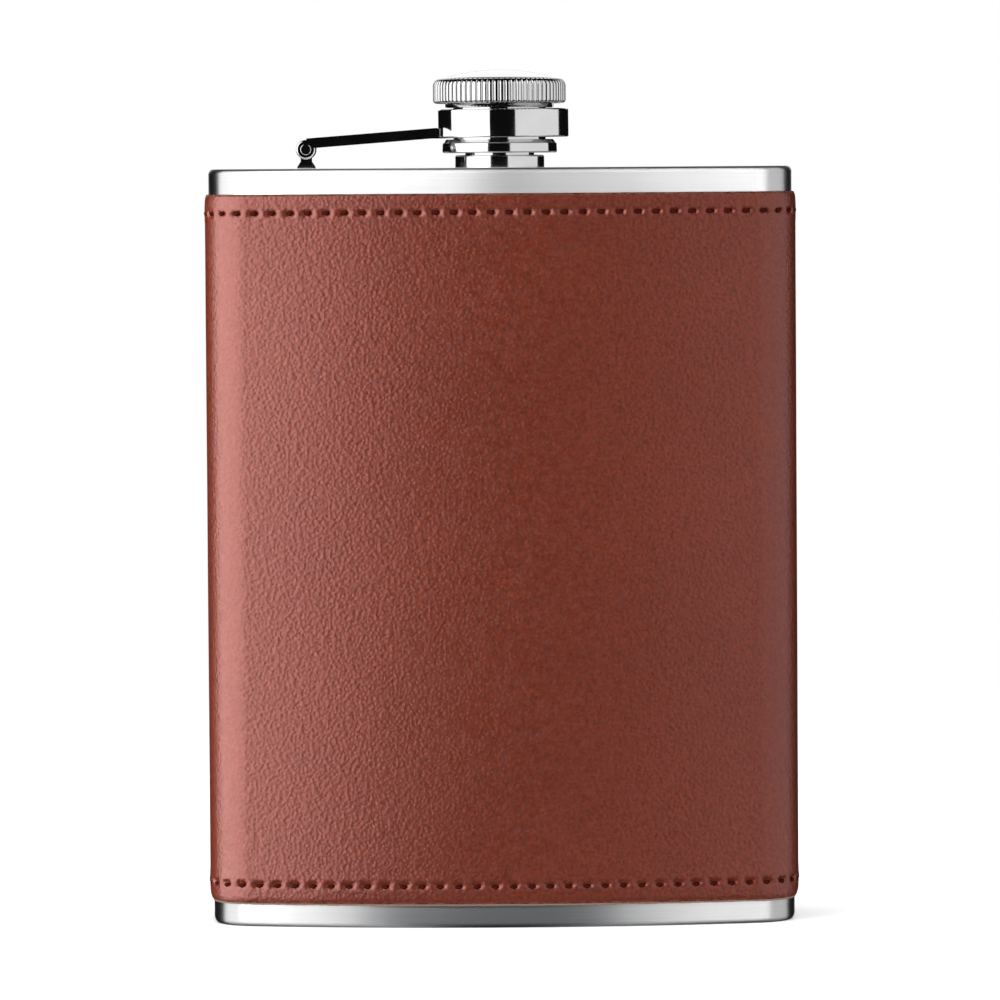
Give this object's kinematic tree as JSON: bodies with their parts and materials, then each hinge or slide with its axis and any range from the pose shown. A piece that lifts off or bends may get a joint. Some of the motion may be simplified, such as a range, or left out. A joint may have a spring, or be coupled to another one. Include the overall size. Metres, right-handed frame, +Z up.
{
  "type": "hip flask",
  "caption": "Kidney-section steel pocket flask in a stitched leather wrap, with a knurled screw cap held captive on a hinged arm.",
  "frame": {"origin": "under the middle of the bounding box, on the surface that the flask stands on", "axes": "+Z up along the flask's height, +X to the right seen from the front with the hinge post at -X, and the convex front towards -Y"},
  "size_m": [0.0954, 0.0305, 0.1363],
  "materials": {
    "brushed_steel": "satin, brushed along its length",
    "polished_steel": "polished",
    "leather": "smooth fine-grained, slight sheen",
    "lining": "matt",
    "thread": "twisted thread",
    "seal_rubber": "matt"
  },
  "bodies": {
    "flask": {"body_shell": "brushed_steel", "top_plate": "brushed_steel", "bottom_plate": "brushed_steel", "neck_spout": "polished_steel", "hinge_post": "polished_steel", "leather_wrap": "leather", "wrap_lining": "lining", "top_stitching": "thread", "bottom_stitching": "thread", "back_seam_stitching": "thread"},
    "arm": {"cap_arm": "polished_steel", "post_pin": "polished_steel", "ring_pin": "polished_steel"},
    "ring": {"swivel_ring": "polished_steel"},
    "cap": {"cap_head": "polished_steel", "cap_core": "polished_steel", "cap_retainer": "polished_steel", "cap_seal": "seal_rubber"}
  },
  "joints": [
    {"name": "arm_swing", "type": "hinge", "parent": "flask", "child": "arm", "pos_m": [-0.0309, -0.00237, 0.12375], "axis": [0, -1, 0], "range_deg": [0, 170]},
    {"name": "ring_pivot", "type": "hinge", "parent": "arm", "child": "ring", "pos_m": [-0.0113, -0.00237, 0.12617], "axis": [0, -1, 0], "range_deg": [0, 20]},
    {"name": "cap_turn", "type": "hinge", "parent": "ring", "child": "cap", "pos_m": [0, -0.00237, 0.1207], "axis": [0, 0, 1], "continuous": true}
  ],
  "couplings": [
    {"joint": "ring_pivot", "follows": "arm_swing", "ratio": 0.1175}
  ]
}
